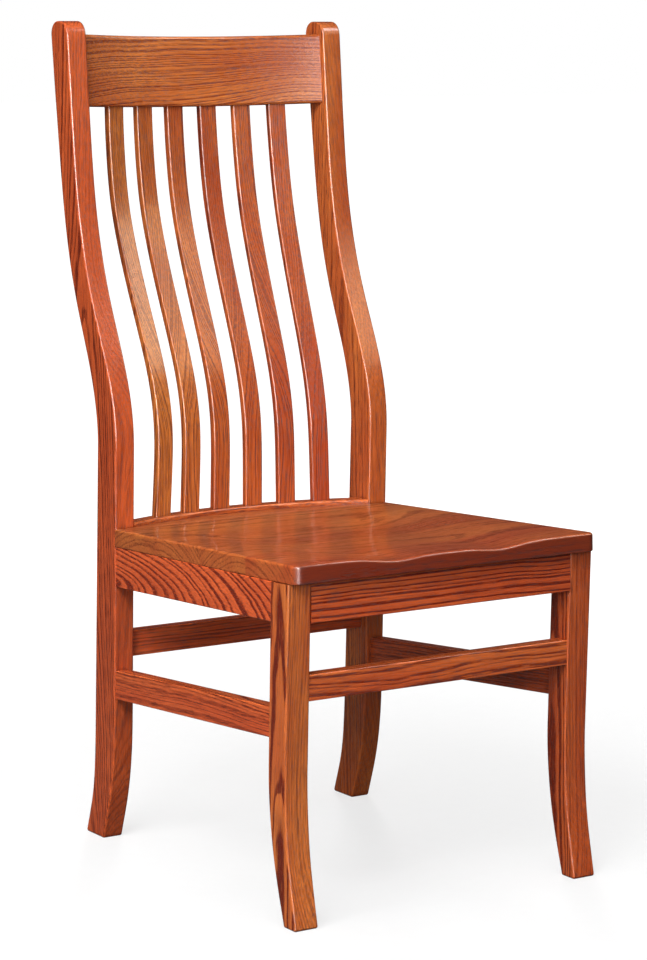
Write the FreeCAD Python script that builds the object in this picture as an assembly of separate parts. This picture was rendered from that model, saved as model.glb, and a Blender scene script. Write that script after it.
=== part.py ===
"""Mission-style oak dining chair: bent back posts, curved slatted back, scooped seat.

Millimetres, +Z up, front of the chair towards -Y, origin on the floor under the
centre of the overall box.  Every piece is its own solid; the rails and stretchers
carry tenons and the legs, posts and rails carry the matching mortises.
"""
import FreeCAD
import Part
import math
import os

V = FreeCAD.Vector

# ---- overall ---------------------------------------------------------------
SEAT_FRONT_Y = -314.5        # front edge of the seat
SEAT_TOP = 457.0             # seat height at its front edge
SEAT_THICK = 24.0
SEAT_TILT = 2.5              # seat and aprons drop towards the back, degrees
POST_TOP = 1111.0
ROUND = 3.0                  # roundover on the long edges of posts and legs

# ---- back posts ------------------------------------------------------------
POST_OUT = 219.5             # outer face, distance from the centre plane
POST_WIDE = 30.0
POST_IN = POST_OUT - POST_WIDE
POST_FRONT_LINE = ((160.8, 180.0), (150.3, 545.0))
POST_BACK_LINE = ((215.1, 180.0), (200.6, 545.0))
POST_FRONT_FOOT = ((196.1, 0.0), (176.3, 60.0), (164.8, 120.0))
POST_BACK_FOOT = ((244.6, 0.0), (225.6, 60.0), (218.0, 120.0))
POST_FRONT_TOP = ((155.9, 600.0), (176.0, 660.0), (203.4, 720.0), (227.1, 780.0),
                  (243.7, 840.0), (258.0, 930.0), (267.5, 1030.0), (274.5, POST_TOP))
POST_BACK_TOP = ((206.4, 600.0), (225.4, 660.0), (250.6, 720.0), (271.5, 780.0),
                 (285.7, 840.0), (299.5, 930.0), (312.0, 1030.0), (321.0, POST_TOP))

# ---- front legs ------------------------------------------------------------
LEG_OUT = 233.0
LEG_WIDE = 34.5
LEG_IN = LEG_OUT - LEG_WIDE
LEG_FRONT_LINE = ((-295.3, 200.0), (-303.5, 445.0))
LEG_BACK_LINE = ((-255.8, 200.0), (-262.9, 445.0))
LEG_FRONT_FOOT = ((-318.5, 0.0), (-309.8, 40.0), (-302.1, 80.0), (-296.2, 140.0))
LEG_BACK_FOOT = ((-291.0, 0.0), (-278.6, 40.0), (-267.9, 80.0), (-258.3, 140.0))

# ---- curved back -----------------------------------------------------------
RAIL_RADIUS = 480.0          # concave front face of both curved back rails
BOW_HALF_ANGLE = 26.0
RAIL_THICK = 24.0
LOWER_RAIL_Y = 153.5         # front face where the rail meets the posts
LOWER_RAIL_TOP = 442.5
LOWER_RAIL_TALL = 30.0
CREST_Y = 273.5              # the same at the bottom of the crest rail
CREST_BOTTOM = 997.5
CREST_TALL = 96.6
CREST_THICK = 22.0
CREST_LEAN = 5.0

SLAT_X = (-126.2, -76.3, -25.9, 25.9, 76.3, 126.2)
SLAT_WIDE = 26.8
SLAT_THICK = 10.8
SLAT_TURN = 0.7              # share of the rail's own turn that each slat takes
SLAT_LEAN = 0.0003           # inward lean of a slat for each millimetre off centre
SLAT_MID = (223.5, 700.0)    # where the slats are placed from, y and z
SLAT_CURVE = ((180.5, 420.0), (179.0, 505.0), (180.6, 560.0), (192.6, 620.0),
              (214.9, 680.0), (240.5, 740.0), (264.3, 800.0), (283.2, 860.0),
              (294.2, 920.0), (300.6, 980.0), (303.6, 1020.0))
SLAT_TENON_WIDE = 18.0
SLAT_TENON_THICK = 6.0
SLAT_TENON_LONG = 14.0

# ---- seat frame and stretchers ---------------------------------------------
STOCK = 20.0                 # thickness of aprons and stretchers
REVEAL = 2.0                 # they stand back this far from the leg faces
APRON_BOTTOM = 382.0
SIDE_APRON_LOW = (380.1, 356.9)       # underside at the leg, at the post
FRONT_STRETCHER = (282.6, 315.8)
REAR_STRETCHER = (255.5, 290.8)
SIDE_STRETCHER_TOP = (273.1, 241.4)
SIDE_STRETCHER_LOW = (233.8, 201.9)
TENON_THICK = 9.0
TENON_LONG = 18.0
TENON_SHOULDER = 6.0

# ---- seat ------------------------------------------------------------------
SEAT_HALF_FRONT = 231.0
SEAT_HALF_BACK = 219.5
SEAT_CORNER = 12.0
SEAT_ROUND = 4.0
BOARD_SEAMS = (-196.0, -78.0, 42.0)   # glue lines between the seat boards
HOLLOW_X = 78.0
HOLLOW_DEEP = 6.6
DISH_DEEP = 9.0

# ---- hidden fixings ----------------------------------------------------------
BLOCK_TALL = 28.0
BLOCK_THICK = 24.0
SCREW_SPREAD = 26.0


def tilted(shape):
    """Tip a piece of the seat frame back with the seat."""
    out = shape.copy()
    out.rotate(V(0, SEAT_FRONT_Y, SEAT_TOP), V(1, 0, 0), -SEAT_TILT)
    return out


def mirrored(shape):
    """The matching piece of the other side."""
    return shape.mirror(V(0, 0, 0), V(1, 0, 0))


def direction(p, q):
    return V(0, q[0] - p[0], q[1] - p[1]).normalize()


def spline(points, start, end):
    curve = Part.BSplineCurve()
    curve.interpolate(Points=[V(0, y, z) for y, z in points], InitialTangent=start,
                      FinalTangent=end)
    return curve.toShape()


def line(p, q):
    return Part.makeLine(V(0, p[0], p[1]), V(0, q[0], q[1]))


def face_side(foot, straight, top=()):
    """One long edge of a leg seen from the side: flared foot, straight, curved top."""
    along = direction(*straight)
    edges = [spline(list(foot) + [straight[0]], direction(foot[0], foot[1]), along)]
    edges.append(line(*straight))
    end = straight[1]
    if top:
        edges.append(spline([straight[1]] + list(top), along, direction(top[-2], top[-1])))
        end = top[-1]
    return edges, foot[0], end


def member(front, back, x0, wide):
    """Side outline between a front and a back edge, pulled sideways into a prism."""
    front_edges, front_foot, front_end = face_side(*front)
    back_edges, back_foot, back_end = face_side(*back)
    edges = front_edges + back_edges + [line(front_foot, back_foot), line(front_end, back_end)]
    face = Part.Face(Part.Wire(Part.__sortEdges__(edges)))
    solid = face.extrude(V(wide, 0, 0))
    solid.translate(V(x0, 0, 0))
    return solid


def cross_edges(solid, y, z):
    """Edges running along X through the point (y, z) of the outline."""
    found = []
    for edge in solid.Edges:
        box = edge.BoundBox
        if box.XLength > 1 and abs(box.YMin - y) + abs(box.ZMin - z) + box.YLength < 0.01:
            found.append(edge)
    return found


def side_edges(solid):
    """Every edge lying in one of the two flat side faces."""
    return [edge for edge in solid.Edges if edge.BoundBox.XLength < 1e-4]


def solid_of(shape):
    """The single solid inside a boolean result."""
    return max(shape.Solids, key=lambda s: s.Volume)


def box(x0, x1, y0, y1, z0, z1):
    return Part.makeBox(x1 - x0, y1 - y0, z1 - z0, V(x0, y0, z0))


def plan(points, z0, z1):
    """Prism standing on a plan polygon."""
    corners = [V(x, y, z0) for x, y in points]
    return Part.Face(Part.makePolygon(corners + corners[:1])).extrude(V(0, 0, z1 - z0))


def at_height(straight, z):
    """Position of a straight leg face at height z."""
    (y0, z0), (y1, z1) = straight
    return y0 + (y1 - y0) * (z - z0) / (z1 - z0)


# ---- posts and legs ---------------------------------------------------------
post_front = (POST_FRONT_FOOT, POST_FRONT_LINE, POST_FRONT_TOP)
post_back = (POST_BACK_FOOT, POST_BACK_LINE, POST_BACK_TOP)
post_block = member(post_front, post_back, POST_IN, POST_WIDE)
post = post_block
for corner, radius in ((POST_FRONT_TOP[-1], 20.0), (POST_BACK_TOP[-1], 17.0),
                       (POST_FRONT_FOOT[0], ROUND), (POST_BACK_FOOT[0], ROUND)):
    post = post.makeFillet(radius, cross_edges(post, *corner))
post = post.makeFillet(ROUND - 0.2, side_edges(post))

leg_block = member((LEG_FRONT_FOOT, LEG_FRONT_LINE), (LEG_BACK_FOOT, LEG_BACK_LINE),
                   LEG_IN, LEG_WIDE)
leg = leg_block
for corner in (LEG_FRONT_FOOT[0], LEG_BACK_FOOT[0]):
    leg = leg.makeFillet(ROUND, cross_edges(leg, *corner))
long_edges = [e for e in side_edges(leg) if e.BoundBox.ZMin < LEG_FRONT_LINE[1][1] - 1]
leg = leg.makeFillet(ROUND - 0.2, long_edges)
above_seat_frame = tilted(box(-300, 300, -400, 300, SEAT_TOP - SEAT_THICK, SEAT_TOP + 80))
leg = solid_of(leg.cut(above_seat_frame))


# ---- curved rails -----------------------------------------------------------
def sag(x, radius=RAIL_RADIUS):
    """How far the concave face lies in front of its deepest line at x."""
    return radius - math.sqrt(radius ** 2 - x ** 2)


def curved_rail(y_end, thick, z0, tall, top_round=0.0, low_round=0.0):
    """Rail bowed backwards in plan: its section swung about the centre of the bow."""
    front = y_end + sag(POST_IN)
    back = front + thick
    z1 = z0 + tall
    corners = ((front, z0, low_round, 1, 1), (front, z1, top_round, 1, -1),
               (back, z1, top_round, -1, -1), (back, z0, low_round, -1, 1))
    stops = []
    edges = []
    for y, z, r, in_y, in_z in corners:
        upright = V(0, y, z + in_z * r)
        level = V(0, y + in_y * r, z)
        middle = V(0, y + in_y * r * (1 - math.sqrt(0.5)), z + in_z * r * (1 - math.sqrt(0.5)))
        first, last = (level, upright) if in_y * in_z > 0 else (upright, level)
        if r:
            edges.append(Part.Arc(first, middle, last).toShape())
        stops.append((first, last))
    for i in range(4):
        edges.append(Part.makeLine(stops[i][1], stops[(i + 1) % 4][0]))
    section = Part.Face(Part.Wire(Part.__sortEdges__(edges)))
    centre = V(0, front - RAIL_RADIUS, 0)
    section.rotate(centre, V(0, 0, 1), -BOW_HALF_ANGLE)
    return solid_of(section.revolve(centre, V(0, 0, 1), 2 * BOW_HALF_ANGLE))


def between_posts(shape):
    """Trim a rail to its shoulders at the posts' inner faces."""
    half = shape.common(box(0, POST_IN, 0, 500, 0, POST_TOP))
    return solid_of(half.fuse(mirrored(half)).removeSplitter())


def end_tenons(y0, y1, z0, z1):
    return [box(s * (POST_IN - 9) if s > 0 else -POST_IN - TENON_LONG,
                POST_IN + TENON_LONG if s > 0 else -POST_IN + 9, y0, y1, z0, z1)
            for s in (-1, 1)]


lower_block = curved_rail(LOWER_RAIL_Y, RAIL_THICK, LOWER_RAIL_TOP - LOWER_RAIL_TALL,
                          LOWER_RAIL_TALL)
lower_rail = between_posts(curved_rail(LOWER_RAIL_Y, RAIL_THICK, LOWER_RAIL_TOP - LOWER_RAIL_TALL,
                                       LOWER_RAIL_TALL, 3.0))
lower_tenons = end_tenons(LOWER_RAIL_Y + 8, LOWER_RAIL_Y + 17,
                          LOWER_RAIL_TOP - LOWER_RAIL_TALL + 5, LOWER_RAIL_TOP - 6)


def leaned(shape):
    """Lean a piece of the crest rail back."""
    out = shape.copy()
    out.rotate(V(0, CREST_Y, CREST_BOTTOM), V(1, 0, 0), -CREST_LEAN)
    return out


crest_block = leaned(curved_rail(CREST_Y, CREST_THICK, CREST_BOTTOM, CREST_TALL))
crest = leaned(curved_rail(CREST_Y, CREST_THICK, CREST_BOTTOM, CREST_TALL, 4.0, 3.0))
crest = between_posts(crest)
crest_tenons = [leaned(t) for t in end_tenons(CREST_Y + 7, CREST_Y + 16, CREST_BOTTOM + 14,
                                              CREST_BOTTOM + CREST_TALL - 16)]


# ---- slats ------------------------------------------------------------------
def slat_prism(x, wide, thick, z0, z1):
    """Stretch of one slat: bent like the posts, turned part-way to follow the rails."""
    points = [(y, z) for y, z in SLAT_CURVE]
    forward = (SLAT_THICK - thick) / 2
    face_front = spline([(y + forward, z) for y, z in points], V(0, 0, 1), V(0, 0.1, 1))
    face_back = spline([(y + forward + thick, z) for y, z in points], V(0, 0, 1), V(0, 0.1, 1))
    ends = [line((points[i][0] + forward, points[i][1]), (points[i][0] + forward + thick,
                                                          points[i][1])) for i in (0, -1)]
    face = Part.Face(Part.Wire(Part.__sortEdges__([face_front, face_back] + ends)))
    solid = face.extrude(V(wide, 0, 0))
    if wide == SLAT_WIDE:
        upright = [e for e in solid.Edges if e.BoundBox.ZLength > 300]
        solid = solid.makeFillet(2.2, upright)
    mid_y, mid_z = SLAT_MID
    solid.translate(V(-wide / 2, 0, 0))
    turn = -SLAT_TURN * math.asin(x / RAIL_RADIUS)
    solid.rotate(V(0, mid_y, 0), V(0, 0, 1), math.degrees(turn))
    solid.rotate(V(0, 0, mid_z), V(0, 1, 0), -math.degrees(math.atan(x * SLAT_LEAN)))
    solid.translate(V(x, sag(SLAT_X[0]) - sag(x), 0))
    return solid_of(solid.common(box(-250, 250, 100, 400, z0, z1)))


slats = []
slat_tenons = []
for x in SLAT_X:
    body = slat_prism(x, SLAT_WIDE, SLAT_THICK, LOWER_RAIL_TOP, CREST_BOTTOM + 12)
    body = min(body.cut(crest_block).Solids, key=lambda s: s.BoundBox.ZMin)
    tenon = slat_prism(x, SLAT_TENON_WIDE, SLAT_TENON_THICK, LOWER_RAIL_TOP - SLAT_TENON_LONG,
                       CREST_BOTTOM + SLAT_TENON_LONG)
    slats.append(solid_of(body.fuse(tenon).removeSplitter()))
    slat_tenons.append(tenon)
for tenon in slat_tenons:
    lower_rail = solid_of(lower_rail.cut(tenon))
    crest = solid_of(crest.cut(tenon))
lower_rail = solid_of(lower_rail.multiFuse(lower_tenons).removeSplitter())
crest = solid_of(crest.multiFuse(crest_tenons).removeSplitter())


# ---- aprons and stretchers ---------------------------------------------------
def cross_rail(half, y0, y1, z0, z1):
    """Straight rail from side to side with a tenon on each end, and the tenons."""
    blank = box(-half, half, y0, y1, z0, z1)
    edges = [e for e in blank.Edges if e.BoundBox.XLength > half]
    blank = blank.makeFillet(1.5, edges)
    y_mid = (y0 + y1) / 2
    tenon = box(-half - TENON_LONG, half + TENON_LONG, y_mid - TENON_THICK / 2,
                y_mid + TENON_THICK / 2, z0 + TENON_SHOULDER, z1 - TENON_SHOULDER)
    return solid_of(blank.fuse(tenon).removeSplitter()), tenon


def side_rail(top, low, y0, y1, out0, out1):
    """Rail from leg to post on the right-hand side, running slightly inwards."""
    def slab(up, down, start, end, inset, thick):
        slope_top = (top[1] - top[0]) / (y1 - y0)
        slope_low = (low[1] - low[0]) / (y1 - y0)
        corners = [(start, top[0] + slope_top * (start - y0) - up),
                   (end, top[0] + slope_top * (end - y0) - up),
                   (end, low[0] + slope_low * (end - y0) + down),
                   (start, low[0] + slope_low * (start - y0) + down)]
        points = [V(0, y, z) for y, z in corners]
        solid = Part.Face(Part.makePolygon(points + points[:1])).extrude(V(-thick, 0, 0))
        solid.translate(V(out0 - inset, 0, 0))
        solid.rotate(V(out0, y0, 0), V(0, 0, 1), math.degrees(math.atan((out0 - out1) / (y1 - y0))))
        return solid
    blank = slab(0, 0, y0 - 12, y1 + 12, 0, STOCK)
    edges = [e for e in blank.Edges if e.BoundBox.YLength > 300]
    blank = blank.makeFillet(1.5, edges)
    blank = solid_of(blank.cut(leg_block).cut(post_block))
    tenon = slab(TENON_SHOULDER, TENON_SHOULDER, y0 - TENON_LONG, y1 + TENON_LONG,
                 (STOCK - TENON_THICK) / 2, TENON_THICK)
    return solid_of(blank.fuse(tenon).removeSplitter()), tenon


under_seat = SEAT_TOP - SEAT_THICK
apron_y = at_height(LEG_FRONT_LINE, 405.0) + REVEAL
front_apron, front_apron_tenon = cross_rail(LEG_IN, apron_y, apron_y + STOCK, APRON_BOTTOM,
                                            under_seat)
front_apron = tilted(front_apron)
front_apron_tenon = tilted(front_apron_tenon)

rear_apron_top = LOWER_RAIL_TOP - LOWER_RAIL_TALL
rear_apron_y = LOWER_RAIL_Y + 14
rear_apron, rear_apron_tenon = cross_rail(POST_IN, rear_apron_y, rear_apron_y + STOCK,
                                          rear_apron_top - 54, rear_apron_top)

stretcher_y = at_height(LEG_FRONT_LINE, 300.0) + REVEAL
front_stretcher, front_stretcher_tenon = cross_rail(LEG_IN, stretcher_y, stretcher_y + STOCK,
                                                    *FRONT_STRETCHER)
rear_stretcher, rear_stretcher_tenon = cross_rail(POST_IN, 172.0, 172.0 + STOCK,
                                                  *REAR_STRETCHER)

y_leg = at_height(LEG_BACK_LINE, 400.0)
y_post = at_height(POST_FRONT_LINE, 380.0)
drop = math.tan(math.radians(SEAT_TILT))
apron_top = [SEAT_TOP - SEAT_THICK - drop * (y - SEAT_FRONT_Y) for y in (y_leg, y_post)]
side_apron, side_apron_tenon = side_rail(apron_top, SIDE_APRON_LOW, y_leg, y_post,
                                         LEG_OUT - REVEAL, POST_OUT - REVEAL)
y_leg = at_height(LEG_BACK_LINE, 250.0)
y_post = at_height(POST_FRONT_LINE, 225.0)
side_stretcher, side_stretcher_tenon = side_rail(SIDE_STRETCHER_TOP, SIDE_STRETCHER_LOW, y_leg,
                                                 y_post, LEG_OUT - REVEAL, POST_OUT - REVEAL)


# ---- seat ---------------------------------------------------------------------
def swell(t):
    """Smooth step from 0 to 1."""
    t = min(max(t, 0.0), 1.0)
    return t * t * (3 - 2 * t)


def bump(t, wide):
    return math.exp(-(t / wide) ** 2)


def scoop(x, y):
    """Depth of the shaped seat top below its flat border."""
    front = HOLLOW_DEEP * bump(abs(x) - HOLLOW_X, 42.0) + 3.0 * bump(x, 40.0)
    dish = DISH_DEEP * swell((205.0 - abs(x)) / 130.0)
    back = swell((150.0 - y) / 150.0)
    blend = swell((y - SEAT_FRONT_Y) / 190.0)
    return ((1 - blend) * front + blend * dish) * back


arc_middle = LOWER_RAIL_Y + sag(POST_IN)
rear_y = at_height(POST_FRONT_LINE, SEAT_TOP)
rear = [V(-SEAT_HALF_BACK, rear_y + 6, 0), V(-POST_IN, rear_y + 6, 0),
        V(0, arc_middle + 6, 0), V(POST_IN, rear_y + 6, 0), V(SEAT_HALF_BACK, rear_y + 6, 0)]
front_left = V(-SEAT_HALF_FRONT, SEAT_FRONT_Y, 0)
front_right = V(SEAT_HALF_FRONT, SEAT_FRONT_Y, 0)
outline = [Part.makeLine(front_left, front_right), Part.makeLine(front_right, rear[4]),
           Part.makeLine(rear[4], rear[3]), Part.Arc(rear[3], rear[2], rear[1]).toShape(),
           Part.makeLine(rear[1], rear[0]), Part.makeLine(rear[0], front_left)]
seat = Part.Face(Part.Wire(Part.__sortEdges__(outline))).extrude(V(0, 0, SEAT_THICK + 5))
seat.translate(V(0, 0, SEAT_TOP - SEAT_THICK))
corners = [e for e in seat.Edges if e.BoundBox.ZLength > 20
           and abs(e.BoundBox.YMin - SEAT_FRONT_Y) < 0.01]
seat = seat.makeFillet(SEAT_CORNER, corners)

columns = 25
rows = 28
grid = []
for i in range(columns):
    x = -240.0 + 480.0 * i / (columns - 1)
    ys = [-325.0 + 540.0 * j / (rows - 1) for j in range(rows)]
    grid.append([V(x, y, SEAT_TOP - scoop(x, y)) for y in ys])
surface = Part.BSplineSurface()
surface.interpolate(grid)
seat = solid_of(seat.cut(surface.toShape().extrude(V(0, 0, 60))))
top_face = max(seat.Faces, key=lambda f: f.CenterOfMass.z)
rim = [e for e in top_face.Edges if e.BoundBox.YMin < 100]
seat = seat.makeFillet(SEAT_ROUND, rim)
bottom_face = min(seat.Faces, key=lambda f: f.CenterOfMass.z)
under_rim = [e for e in bottom_face.Edges if e.BoundBox.YMin < 100]
seat = tilted(seat.makeFillet(1.5, under_rim))
wide_post = member(post_front, post_back, POST_IN, POST_WIDE + 30.0)
for neighbour in (wide_post, mirrored(wide_post), lower_block):
    seat = solid_of(seat.cut(neighbour))

# ---- corner blocks and screws ----------------------------------------------------
def screw(head, way, length):
    """Countersunk wood screw driven from `head` along `way`, head flush."""
    cone = Part.makeCone(4.0, 2.0, 3.0, head, way)
    shank = Part.makeCylinder(2.0, length - 6.0, head, way)
    point = Part.makeCone(2.0, 0.4, 6.0, head + way * (length - 6.0), way)
    return solid_of(cone.multiFuse([shank, point]).removeSplitter())


def corner_block(a, b, inward, walls):
    """Bar across a corner of the seat frame with its two block screws and seat screw."""
    along = (b - a).normalize()
    start = a - along * 30.0
    end = b + along * 30.0
    inner = inward * BLOCK_THICK
    low = under_seat - BLOCK_TALL
    points = [start, end, end + inner, start + inner]
    bar = tilted(plan([(p.x, p.y) for p in points], low, under_seat))
    for wall in walls:
        bar = solid_of(bar.cut(wall))
    middle = (a + b) * 0.5 + inner
    heads = [middle + along * step + V(0, 0, under_seat - BLOCK_TALL / 2)
             for step in (-SCREW_SPREAD, SCREW_SPREAD)]
    sides = [tilted(screw(head, inward * -1, 34.0)) for head in heads]
    foot = middle - inward * (BLOCK_THICK / 2) + V(0, 0, low)
    return bar, sides, tilted(screw(foot, V(0, 0, 1), 38.0))


front_in = apron_y + STOCK
before_front = tilted(box(-300, 300, -420, front_in, 300, 500))
behind_rear = box(-300, 300, rear_apron_y, 400, 300, 500)
front_block, front_screws, front_seat_screw = corner_block(
    V(182.0, front_in, 0), V(210.4, -246.0, 0), V(-0.77, 0.64, 0).normalize(),
    (before_front, side_apron))
rear_block, rear_screws, rear_seat_screw = corner_block(
    V(164.0, rear_apron_y, 0), V(198.6, 118.0, 0), V(-0.82, -0.573, 0).normalize(),
    (behind_rear, side_apron))

block_screws = front_screws + rear_screws
block_screws = block_screws + [mirrored(s) for s in block_screws]
seat_screws = [front_seat_screw, rear_seat_screw]
seat_screws = seat_screws + [mirrored(s) for s in seat_screws]

# ---- both sides of the chair --------------------------------------------------------
slat_names = ["back_slat_%d" % (i + 1) for i in range(len(slats))]
nodes = {"back_post_right": post, "front_leg_right": leg, "side_apron_right": side_apron,
         "side_stretcher_right": side_stretcher, "corner_block_front_right": front_block,
         "corner_block_rear_right": rear_block}
for name in list(nodes):
    nodes[name.replace("right", "left")] = mirrored(nodes[name])
nodes.update(zip(slat_names, slats))
nodes.update({"crest_rail": crest, "lower_back_rail": lower_rail, "front_apron": front_apron,
              "rear_apron": rear_apron, "front_stretcher": front_stretcher,
              "rear_stretcher": rear_stretcher})

# ---- mortises and screw holes ---------------------------------------------------------
leg_tenons = [front_apron_tenon, front_stretcher_tenon, side_apron_tenon, side_stretcher_tenon]
post_tenons = crest_tenons + lower_tenons + [rear_apron_tenon, rear_stretcher_tenon,
                                             side_apron_tenon, side_stretcher_tenon]
for base, tenons in (("front_leg", leg_tenons), ("back_post", post_tenons)):
    for tenon in tenons:
        nodes[base + "_right"] = solid_of(nodes[base + "_right"].cut(tenon))
    nodes[base + "_left"] = mirrored(nodes[base + "_right"])

drilled = [n for n in nodes if "apron" in n or "block" in n]
for name in drilled:
    for s in block_screws + seat_screws:
        if nodes[name].distToShape(s)[0] < 1e-6:
            nodes[name] = solid_of(nodes[name].cut(s))
for s in seat_screws:
    seat = solid_of(seat.cut(s))

seams = (SEAT_FRONT_Y - 20,) + BOARD_SEAMS + (300.0,)
for i in range(len(seams) - 1):
    board = tilted(box(-300, 300, seams[i], seams[i + 1], 400, 500))
    nodes["seat_board_%d" % (i + 1)] = solid_of(seat.common(board))
nodes["corner_block_screws"] = Part.Compound(block_screws)
nodes["seat_screws"] = Part.Compound(seat_screws)

# ---- origin on the floor under the centre of the box, then out to STEP --------------------
front_most = leg.optimalBoundingBox(False, False).YMin
rear_most = crest.optimalBoundingBox(False, False).YMax
os.makedirs("parts", exist_ok=True)
for name, shape in sorted(nodes.items()):
    shape.translate(V(0, -(front_most + rear_most) / 2, 0))
    shape.exportStep("parts/%s.step" % name)
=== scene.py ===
import math
import bpy
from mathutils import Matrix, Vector


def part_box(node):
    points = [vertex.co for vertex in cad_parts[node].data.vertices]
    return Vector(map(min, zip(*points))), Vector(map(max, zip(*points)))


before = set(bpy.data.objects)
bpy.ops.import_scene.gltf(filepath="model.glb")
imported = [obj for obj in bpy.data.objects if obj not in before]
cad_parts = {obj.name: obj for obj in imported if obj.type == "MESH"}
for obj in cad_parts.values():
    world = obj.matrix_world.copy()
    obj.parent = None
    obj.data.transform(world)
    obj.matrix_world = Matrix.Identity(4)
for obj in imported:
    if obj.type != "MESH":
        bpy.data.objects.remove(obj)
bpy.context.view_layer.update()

# ---------------------------------------------------------------- driving values
# Colours are linear RGB, lengths are metres, and a brightness of 1 is white.
GOLD = Vector((0.92, 0.295, 0.062))     # oak that took little stain
BRICK = Vector((0.88, 0.135, 0.036))    # oak that took more stain
UMBER = Vector((0.20, 0.019, 0.005))    # stain held in the early wood; also the colour of painted shade where faces meet

GLOSS = 0.18             # roughness of the lacquer
SEAT_GLOSS = 0.24        # the seat is a little less glossy
WOOD_IOR = 1.48
COAT_IOR = 1.5
COAT_WEIGHT = 0.4
COAT_SMOOTHER = 0.6      # the coat's roughness as a share of the lacquer's

BEND = 0.075             # how far a tree's rings stray from circles, over about 25 cm
RIPPLE = 0.0055          # and over about 3 cm
UNEVEN = 0.016           # how far the spacing of the rings varies
KNOT_STRETCH = 0.45      # a knot's swerve is longer along the grain than across it
CREASE_SHADE_REACH = 0.010     # painted shade darkens the colour this near to a meeting face
RELIEF = 0.0005          # depth of the pores and rings under the lacquer

FLOOR_GLOW = 0.69        # the floor's own light close to the chair, which rises to 1
GLOW_NEAR = 0.6
GLOW_FAR = 3.0
FLOOR_SIZE = 80
# The floor and room look white, but send little light back on to the chair.
FLOOR_DIM = 0.08
ROOM_DIM = 0.035

CAMERA_PLACE = (-2.1360, -3.33685, 1.0934)
CAMERA_AZIMUTH = math.radians(-32.8965)
CAMERA_ELEVATION = math.radians(8.47317)
LENS_MM = 112.232
SENSOR_MM = 36.0


# ---------------------------------------------------------------- node helpers
def link(tree, a, b):
    tree.links.new(a, b)


def node(tree, kind, **settings):
    """A new node with the given settings."""
    made = tree.nodes.new(kind)
    for key, value in settings.items():
        setattr(made, key, value)
    return made


def maths(tree, operation, a, b=None, c=None, clamp=False):
    """A sum of sockets and plain numbers."""
    made = node(tree, "ShaderNodeMath", operation=operation, use_clamp=clamp)
    for i, value in enumerate((a, b, c)):
        if value is None:
            continue
        if isinstance(value, (int, float)):
            made.inputs[i].default_value = value
        else:
            link(tree, value, made.inputs[i])
    return made.outputs[0]


def vector_maths(tree, operation, a, b=None):
    """A sum of a vector socket and another, or a fixed vector; gives the node."""
    made = node(tree, "ShaderNodeVectorMath", operation=operation)
    link(tree, a, made.inputs[0])
    if isinstance(b, (tuple, Vector)):
        made.inputs[1].default_value = b
    elif b is not None:
        link(tree, b, made.inputs[1])
    return made


def ramp(tree, factor, stops):
    """A grey ramp through (position, level) stops."""
    made = tree.nodes.new("ShaderNodeValToRGB")
    ends = made.color_ramp.elements
    while len(ends) < len(stops):
        ends.new(0.5)
    for end, (position, level) in zip(ends, stops):
        end.position = position
        end.color = (level, level, level, 1)
    link(tree, factor, made.inputs[0])
    return made.outputs[0]


def mix(tree, factor, a, b):
    """Colour a turning to colour b as the factor rises."""
    made = node(tree, "ShaderNodeMix", data_type="RGBA", blend_type="MIX")
    link(tree, factor, made.inputs[0])
    for socket, value in ((made.inputs[6], a), (made.inputs[7], b)):
        if isinstance(value, (tuple, Vector)):
            socket.default_value = (*value, 1)
        else:
            link(tree, value, socket)
    return made.outputs[2]


def mapping(tree, vector, location=(0, 0, 0), rotation=(0, 0, 0), scale=(1, 1, 1)):
    made = tree.nodes.new("ShaderNodeMapping")
    made.inputs["Location"].default_value = location
    made.inputs["Rotation"].default_value = rotation
    made.inputs["Scale"].default_value = scale
    link(tree, vector, made.inputs[0])
    return made.outputs[0]


def noise(tree, vector, scale=1.0, detail=3.0, rough=0.5):
    made = tree.nodes.new("ShaderNodeTexNoise")
    made.inputs["Scale"].default_value = scale
    made.inputs["Detail"].default_value = detail
    made.inputs["Roughness"].default_value = rough
    link(tree, vector, made.inputs["Vector"])
    return made.outputs["Fac"]


def noise_along(tree, distance, scale, detail):
    """Noise that varies with one number, such as the distance from the pith."""
    made = node(tree, "ShaderNodeTexNoise", noise_dimensions="1D")
    made.inputs["Scale"].default_value = scale
    made.inputs["Detail"].default_value = detail
    link(tree, distance, made.inputs["W"])
    return made.outputs["Fac"]


def bump(tree, height, strength, depth):
    made = tree.nodes.new("ShaderNodeBump")
    made.inputs["Strength"].default_value = strength
    made.inputs["Distance"].default_value = depth
    link(tree, height, made.inputs["Height"])
    return made.outputs[0]


# ---------------------------------------------------------------- oak, stained
def fibre_frame(tree, heart, grain, knot):
    """Coordinates from the tree's axis with Z along the grain, swerving round a knot."""
    place = node(tree, "ShaderNodeTexCoord").outputs["Object"]
    turn = Vector(grain).normalized().rotation_difference(Vector((0, 0, 1))).to_euler()
    local = mapping(tree, vector_maths(tree, "SUBTRACT", place, heart).outputs[0], rotation=turn)
    if knot is None:
        return local
    middle, width, swerve = knot
    middle = turn.to_matrix() @ (middle - heart)
    middle.z *= KNOT_STRETCH
    squeezed = mapping(tree, local, scale=(1, 1, KNOT_STRETCH))
    away = vector_maths(tree, "DISTANCE", squeezed, middle).outputs["Value"]
    away = maths(tree, "DIVIDE", away, width)
    near = maths(tree, "EXPONENT",
                 maths(tree, "MULTIPLY", maths(tree, "MULTIPLY", away, away), -1.0))
    push = tree.nodes.new("ShaderNodeCombineXYZ")
    link(tree, maths(tree, "MULTIPLY", near, swerve), push.inputs[0])
    return vector_maths(tree, "ADD", local, push.outputs[0]).outputs[0]


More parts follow.
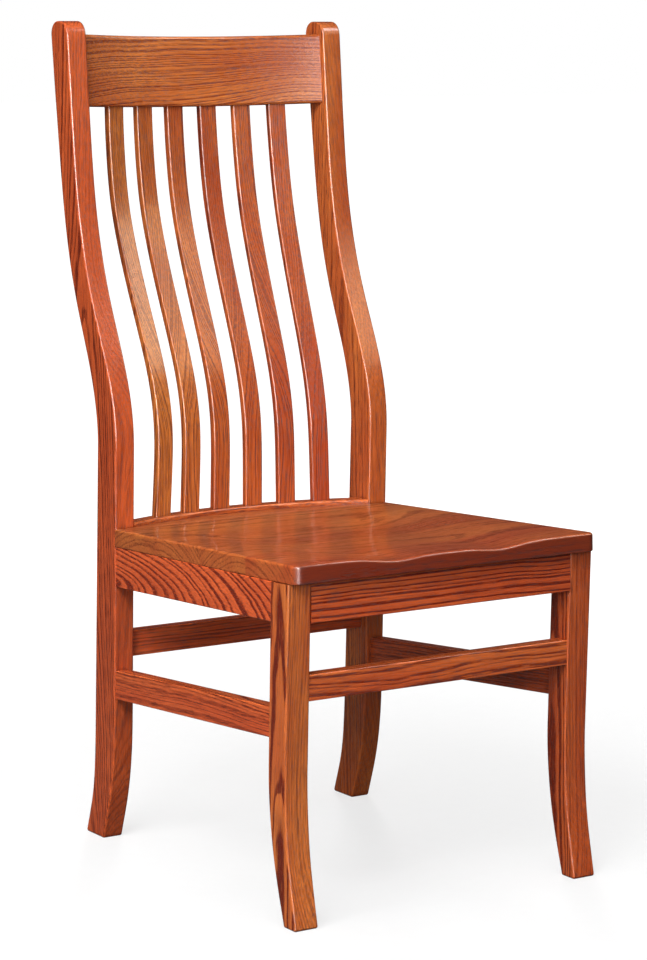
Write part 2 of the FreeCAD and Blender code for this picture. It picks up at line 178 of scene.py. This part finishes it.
def growth_rings(tree, local, x, y, seed, rings, wave):
    """Rings counted outwards from the pith, bent and unevenly spaced as in a real tree."""
    bend = noise(tree, mapping(tree, local, (seed * 1.7, seed * 0.9, seed), scale=(4, 4, 2.2)),
                 detail=2.0, rough=0.45)
    ripple = noise(tree, mapping(tree, local, (seed, seed * 2.3, seed * 0.4), scale=(30, 30, 9)),
                   detail=2.0)
    radius = maths(tree, "SQRT", maths(tree, "ADD", maths(tree, "MULTIPLY", x, x),
                                       maths(tree, "MULTIPLY", y, y)))
    for stray, reach in ((bend, BEND * wave), (ripple, RIPPLE)):
        radius = maths(tree, "MULTIPLY_ADD", maths(tree, "SUBTRACT", stray, 0.5), reach, radius)
    spacing = noise_along(tree, radius, 55.0, 2.0)
    radius = maths(tree, "MULTIPLY_ADD", spacing, UNEVEN, radius)
    return maths(tree, "MULTIPLY", radius, rings)


def early_wood(tree, count, streak, facing, quarter_axis):
    """The dark, porous start of each ring, fainter in lean years and on quarter-sawn faces."""
    early = ramp(tree, maths(tree, "FRACT", count),
                 [(0.0, 0.1), (0.07, 1.0), (0.34, 0.95), (0.5, 0.12), (0.8, 0.0)])
    early = maths(tree, "MULTIPLY", early, ramp(tree, streak, [(0.34, 0.35), (0.5, 1.0)]))
    year = ramp(tree, noise_along(tree, count, 1.0, 1.0), [(0.3, 0.4), (0.58, 1.0)])
    early = maths(tree, "MULTIPLY", early, year)
    if quarter_axis is not None:
        quarter = maths(tree, "ABSOLUTE", facing[quarter_axis])
        early = maths(tree, "MULTIPLY", early, ramp(tree, quarter, [(0.3, 1.0), (0.8, 0.38)]))
    return early


def rounded_arrises(tree, facing):
    """0 where the surface looks along an axis, rising to 1 between them, as on rounded edges."""
    squarest = maths(tree, "MAXIMUM", maths(tree, "ABSOLUTE", facing[0]),
                     maths(tree, "MAXIMUM", maths(tree, "ABSOLUTE", facing[1]),
                           maths(tree, "ABSOLUTE", facing[2])))
    return ramp(tree, maths(tree, "SUBTRACT", 1.0, squarest), [(0.08, 0.0), (0.2, 1.0)])


def oak(name, seed, heart, grain, red, rings, figure, wave, depth, gloss=GLOSS,
        edge_stain=0.0, knot=None, fade=1.0, quarter_axis=None):
    """Red-brown stained oak under gloss lacquer.

    heart is a point on the tree's axis, and growth rings are cylinders round that axis, so the
    figure follows from how the board was cut. grain is the direction of the fibres, rings are
    per metre, figure is how dark they are, and wave is how much they stray. red 0 is golden and
    1 is brick red; depth scales the lightness of the stain, and on two stretchers stands in for
    painted light and painted shade; edge_stain darkens the faces that look forward; knot is
    where the fibres swerve (a place, a width and a height); fade below 1 darkens the far end;
    quarter_axis is the axis whose faces are quarter-sawn, where the rings hardly show.
    """
    mat = bpy.data.materials.new(name)
    mat.use_nodes = True
    tree = mat.node_tree
    tree.nodes.clear()
    out = node(tree, "ShaderNodeOutputMaterial")
    skin = node(tree, "ShaderNodeBsdfPrincipled")
    link(tree, skin.outputs[0], out.inputs[0])

    local = fibre_frame(tree, heart, grain, knot)
    split = node(tree, "ShaderNodeSeparateXYZ")
    link(tree, local, split.inputs[0])
    x, y, along = split.outputs
    normal = node(tree, "ShaderNodeSeparateXYZ")
    link(tree, node(tree, "ShaderNodeNewGeometry").outputs["Normal"], normal.inputs[0])
    facing = normal.outputs

    # open pores: long thin strokes, crowded into the early wood of each ring
    pores = noise(tree, mapping(tree, local, (seed, 0, seed), scale=(760, 760, 45)),
                  detail=2.0, rough=0.6)
    streak = noise(tree, mapping(tree, local, (0, seed, seed * 3), scale=(480, 480, 24)), rough=0.65)
    slow = noise(tree, mapping(tree, local, (seed * 3, 1, seed), scale=(14, 14, 3)), rough=0.55)
    count = growth_rings(tree, local, x, y, seed, rings, wave)
    early = early_wood(tree, count, streak, facing, quarter_axis)
    open_pore = maths(tree, "MULTIPLY", ramp(tree, pores, [(0.5, 0.0), (0.6, 1.0)]),
                      maths(tree, "ADD", early, 0.4), clamp=True)

    # colour: warm base, darker streaks and early wood, dark pores, slow blotches
    light = GOLD.lerp(BRICK, red) * depth
    deep = GOLD.lerp(BRICK, min(1.0, red + 0.45)) * depth * 0.78
    dark = UMBER * depth
    base = mix(tree, ramp(tree, slow, [(0.36, 0.0), (0.64, 1.0)]), deep, light)
    streaks = maths(tree, "MULTIPLY", ramp(tree, streak, [(0.4, 0.0), (0.64, 1.0)]), 0.5)
    base = mix(tree, streaks, base, deep * 0.6)
    if fade < 1.0:
        far = ramp(tree, maths(tree, "MULTIPLY_ADD", along, 2.4, 0.5),
                   [(0.1, 0.0), (0.95, 1.0 - fade)])
        base = mix(tree, far, base, deep * 0.2)
    # darker on the faces that look forward
    if edge_stain:
        front = ramp(tree, maths(tree, "MULTIPLY", facing[1], -1.0),
                     [(0.35, 0.0), (0.8, edge_stain)])
        base = mix(tree, front, base, dark * 1.25)
    base = mix(tree, maths(tree, "MULTIPLY", early, figure, clamp=True), base, dark)
    base = mix(tree, maths(tree, "MULTIPLY", open_pore, 0.72), base, dark * 0.5)

    # stain is rubbed a little thinner on the rounded arrises, and painted shade darkens the colour
    # where two faces meet
    rubbed = maths(tree, "MULTIPLY", rounded_arrises(tree, facing),
                   ramp(tree, slow, [(0.35, 0.08), (0.65, 0.4)]))
    base = mix(tree, rubbed, base, light * 1.1)
    # ambient occlusion: painted shade in creases and joints
    crease_shade = node(tree, "ShaderNodeAmbientOcclusion", samples=4)
    crease_shade.inputs["Distance"].default_value = CREASE_SHADE_REACH
    painted_crease_shade = ramp(tree, crease_shade.outputs["AO"], [(0.3, 0.75), (0.75, 0.0)])
    base = mix(tree, painted_crease_shade, base, dark * 0.6)
    link(tree, base, skin.inputs["Base Color"])

    rough = maths(tree, "MULTIPLY_ADD", open_pore, 0.25, gloss)
    link(tree, maths(tree, "MULTIPLY_ADD", slow, 0.10, rough), skin.inputs["Roughness"])
    skin.inputs["IOR"].default_value = WOOD_IOR
    skin.inputs["Coat Weight"].default_value = COAT_WEIGHT
    skin.inputs["Coat Roughness"].default_value = gloss * COAT_SMOOTHER
    skin.inputs["Coat IOR"].default_value = COAT_IOR

    height = maths(tree, "MULTIPLY_ADD", open_pore, -0.8, 1.0)
    height = maths(tree, "MULTIPLY_ADD", early, -0.25, height)
    link(tree, bump(tree, height, 0.3, RELIEF), skin.inputs["Normal"])
    return mat


def steel(name):
    """Zinc-bright screw steel with a fine grain."""
    mat = bpy.data.materials.new(name)
    mat.use_nodes = True
    tree = mat.node_tree
    skin = tree.nodes["Principled BSDF"]
    place = node(tree, "ShaderNodeTexCoord").outputs["Object"]
    marks = noise(tree, mapping(tree, place, scale=(900, 900, 900)), detail=4.0, rough=0.6)
    link(tree, mix(tree, marks, (0.42, 0.41, 0.38), (0.66, 0.65, 0.60)), skin.inputs["Base Color"])
    skin.inputs["Metallic"].default_value = 1.0
    link(tree, maths(tree, "MULTIPLY_ADD", marks, 0.25, 0.25), skin.inputs["Roughness"])
    link(tree, bump(tree, marks, 0.2, 0.0002), skin.inputs["Normal"])
    return mat


# ---------------------------------------------------------------- how each piece was cut
def centre(name):
    low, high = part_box(name)
    return (low + high) / 2


def cut(grain, pith, red, rings, figure, wave, depth, **special):
    """One piece's oak; pith is where the tree's axis lies from the middle of the piece."""
    return dict(grain=grain, pith=pith, red=red, rings=rings, figure=figure, wave=wave,
                depth=depth, **special)


UP = (0, 0, 1)
ACROSS = (1, 0, 0)
FRONT_FACES = 1          # quarter-sawn faces look along Y
crest_knot = (centre("crest_rail") + Vector((0.25, 0, -0.06)), 0.065, 0.058)
cuts = {
    "back_post_left": cut((0.05, 0, 1), (0.045, 0, 0), 0.85, 260, 1.0, 0.2, 0.85,
                          quarter_axis=FRONT_FACES),
    "back_post_right": cut((-0.04, 0, 1), (-0.06, -0.01, 0), 0.35, 230, 0.6, 0.3, 0.82,
                           quarter_axis=FRONT_FACES),
    "front_leg_left": cut((0.02, 0, 1), (0.036, 0.003, 0), 0.25, 300, 1.3, 0.11, 0.93,
                          quarter_axis=FRONT_FACES),
    "front_leg_right": cut((-0.04, 0, 1), (-0.05, 0.02, 0), 0.7, 230, 1.3, 0.3, 0.84,
                           quarter_axis=FRONT_FACES),
    "crest_rail": cut(ACROSS, (0, 0.02, -0.26), 0.15, 210, 0.9, 0.22, 1.0,
                      knot=crest_knot, fade=0.72),
    "lower_back_rail": cut(ACROSS, (0, -0.06, 0.09), 0.5, 220, 0.6, 0.3, 0.9),
    "front_apron": cut(ACROSS, (0, 0.04, -0.09), 0.8, 180, 1.4, 0.3, 1.0),
    "rear_apron": cut(ACROSS, (0, 0.08, 0.05), 0.7, 200, 0.8, 0.4, 0.9),
    "side_apron_left": cut((-0.2, 1, 0.02), (0.045, 0, -0.035), 0.9, 170, 1.5, 0.35, 1.12),
    "side_apron_right": cut((0.2, 1, 0.02), (-0.045, 0, -0.03), 0.7, 190, 1.1, 0.35, 0.95),
    "front_stretcher": cut(ACROSS, (0, 0.12, -0.08), 0.6, 220, 0.9, 0.4, 0.98),
    # the rear stretcher's high depth paints light on to it under the seat
    "rear_stretcher": cut(ACROSS, (0, 0.07, 0.09), 0.7, 220, 0.8, 0.4, 1.25),
    "side_stretcher_left": cut((0.03, 1, -0.07), (0.04, 0, 0.12), 0.75, 230, 0.9, 0.4, 1.05),
    # the right side stretcher's low depth paints the seat's shade on to it
    "side_stretcher_right": cut((-0.03, 1, -0.07), (-0.04, 0, 0.12), 0.8, 230, 0.8, 0.4, 0.75),
}
for i, red in enumerate((0.0, 0.15, 0.3, 0.45, 0.5, 0.55)):
    cuts["back_slat_%d" % (i + 1)] = cut(UP, ((-1) ** i * 0.11, 0.05, 0), red, 260, 0.8, 0.2,
                                         0.86 - 0.02 * i)
for i, red in enumerate((0.5, 0.36, 0.35, 0.2)):
    cuts["seat_board_%d" % (i + 1)] = cut(ACROSS, (0, 0.05 * (-1) ** i, -0.09 - 0.02 * i), red,
                                          130, 0.45, 0.5, 0.72, gloss=SEAT_GLOSS)
cuts["seat_board_1"]["edge_stain"] = 0.85
for corner in ("front_left", "front_right", "rear_left", "rear_right"):
    cuts["corner_block_" + corner] = cut((1, -1, 0), (0, 0.06, 0.05), 0.3, 200, 0.4, 0.4, 0.9)


def cover(name, mat):
    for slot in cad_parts[name].material_slots:
        slot.material = mat


for i, (name, board) in enumerate(sorted(cuts.items())):
    heart = centre(name) + Vector(board.pop("pith"))
    cover(name, oak("oak_" + name, 3.1 + 1.37 * i, heart, **board))
screws = steel("screw_steel_turned")
for name in ("corner_block_screws", "seat_screws"):
    cover(name, screws)


# ---------------------------------------------------------------- floor
def floor_paper(name):
    """Paper that is white to the camera and dim to every other ray."""
    mat = bpy.data.materials.new(name)
    mat.use_nodes = True
    tree = mat.node_tree
    tree.nodes.clear()
    place = node(tree, "ShaderNodeTexCoord").outputs["Object"]
    grit = noise(tree, place, 40.0)
    seen = node(tree, "ShaderNodeBsdfDiffuse")
    link(tree, mix(tree, grit, (0.27, 0.27, 0.27), (0.29, 0.29, 0.29)), seen.inputs["Color"])
    spread = node(tree, "ShaderNodeMapRange", interpolation_type="SMOOTHSTEP")
    link(tree, vector_maths(tree, "LENGTH", place).outputs["Value"], spread.inputs["Value"])
    spread.inputs["From Min"].default_value = GLOW_NEAR
    spread.inputs["From Max"].default_value = GLOW_FAR
    spread.inputs["To Min"].default_value = FLOOR_GLOW
    spread.inputs["To Max"].default_value = 1.0
    glow = node(tree, "ShaderNodeEmission")
    link(tree, spread.outputs[0], glow.inputs["Strength"])
    both = node(tree, "ShaderNodeAddShader")
    link(tree, seen.outputs[0], both.inputs[0])
    link(tree, glow.outputs[0], both.inputs[1])
    dim = node(tree, "ShaderNodeBsdfDiffuse")
    dim.inputs["Color"].default_value = (FLOOR_DIM, FLOOR_DIM, FLOOR_DIM, 1)
    pick = node(tree, "ShaderNodeMixShader")
    link(tree, node(tree, "ShaderNodeLightPath").outputs["Is Camera Ray"], pick.inputs[0])
    link(tree, dim.outputs[0], pick.inputs[1])
    link(tree, both.outputs[0], pick.inputs[2])
    link(tree, pick.outputs[0], node(tree, "ShaderNodeOutputMaterial").inputs[0])
    return mat


bpy.ops.mesh.primitive_plane_add(size=FLOOR_SIZE, location=(0, 0, 0))
floor = bpy.context.object
floor.name = "floor"
floor.data.materials.append(floor_paper("floor_paper"))


# ---------------------------------------------------------------- light
def hang(name, lamp_data, direction):
    """Put a lamp in the scene, shining along the given direction."""
    lamp = bpy.data.objects.new(name, lamp_data)
    bpy.context.scene.collection.objects.link(lamp)
    lamp.rotation_euler = Vector(direction).to_track_quat("-Z", "Y").to_euler()
    return lamp


def soft_box(name, place, target, wide, tall, bright, lights=True, mirrors=True, tint=(1, 1, 1)):
    """A soft box of the given radiance, facing its target and hidden from the camera.

    Without lights it is a card that is only mirrored in the lacquer; without mirrors it lights
    the wood and isn't seen in the lacquer.
    """
    lamp_data = bpy.data.lights.new(name, "AREA")
    lamp_data.shape = "RECTANGLE"
    lamp_data.size = wide
    lamp_data.size_y = tall
    lamp_data.energy = bright * math.pi * wide * tall
    lamp_data.color = tint
    lamp = hang(name, lamp_data, Vector(target) - Vector(place))
    lamp.location = place
    lamp.visible_camera = False
    lamp.visible_diffuse = lights
    lamp.visible_glossy = mirrors


def soft_sun(name, direction, angle, bright):
    """A wide, even light with no place, only a direction."""
    lamp_data = bpy.data.lights.new(name, "SUN")
    lamp_data.energy = bright
    lamp_data.angle = math.radians(angle)
    hang(name, lamp_data, direction).visible_glossy = False


soft_sun("top", (0.1, 0.05, -1), 85, 1.25)
soft_box("key", (-2.2, -1.9, 3.0), (0, 0, 0.7), 1.2, 1.2, 16)
soft_box("left", (-2.7, -0.5, 2.6), (0, 0, 0.7), 1.2, 1.2, 8, mirrors=False)
soft_box("fill", (-0.9, -4.4, 2.2), (0, 0, 0.55), 2.6, 1.8, 3.9, mirrors=False)
soft_box("low", (-3.4, -1.7, 1.0), (0, 0, 0.3), 1.6, 1.0, 8, mirrors=False)
soft_box("back", (1.7, 2.6, 2.2), (0, 0, 0.5), 0.5, 0.9, 35, mirrors=False)
soft_box("card_left", (-1.15, -2.3, 1.25), (0, 0, 1.15), 1.0, 1.8, 27, lights=False)
soft_box("card_right", (2.6, -1.1, 2.4), (0, 0, 0.75), 1.0, 1.1, 6.5, lights=False,
         tint=(1.0, 0.84, 0.6))
soft_box("card_mid", (2.1, -1.95, 2.35), (0, 0, 0.75), 0.6, 0.8, 3, lights=False,
         tint=(1.0, 0.8, 0.5))
soft_box("card_top", (1.7, -1.1, 2.9), (0, -0.3, 0.45), 0.9, 0.6, 12, lights=False)

world = bpy.data.worlds.new("studio")
world.use_nodes = True
bpy.context.scene.world = world
sky = world.node_tree.nodes["Background"]
sky.inputs["Color"].default_value = (1, 1, 1, 1)
to_camera = node(world.node_tree, "ShaderNodeLightPath").outputs["Is Camera Ray"]
link(world.node_tree, maths(world.node_tree, "MULTIPLY_ADD", to_camera, 1.0 - ROOM_DIM, ROOM_DIM),
     sky.inputs["Strength"])

# ---------------------------------------------------------------- camera
view = bpy.data.cameras.new("view")
view.sensor_fit = "VERTICAL"
view.sensor_height = SENSOR_MM
view.lens = LENS_MM
view.clip_end = 100
camera = bpy.data.objects.new("view", view)
bpy.context.scene.collection.objects.link(camera)
back = Vector((math.sin(CAMERA_AZIMUTH) * math.cos(CAMERA_ELEVATION),
               -math.cos(CAMERA_AZIMUTH) * math.cos(CAMERA_ELEVATION),
               math.sin(CAMERA_ELEVATION)))
camera.rotation_euler = back.to_track_quat("Z", "Y").to_euler()
camera.location = CAMERA_PLACE
bpy.context.scene.camera = camera
bpy.context.scene.view_settings.view_transform = "Standard"
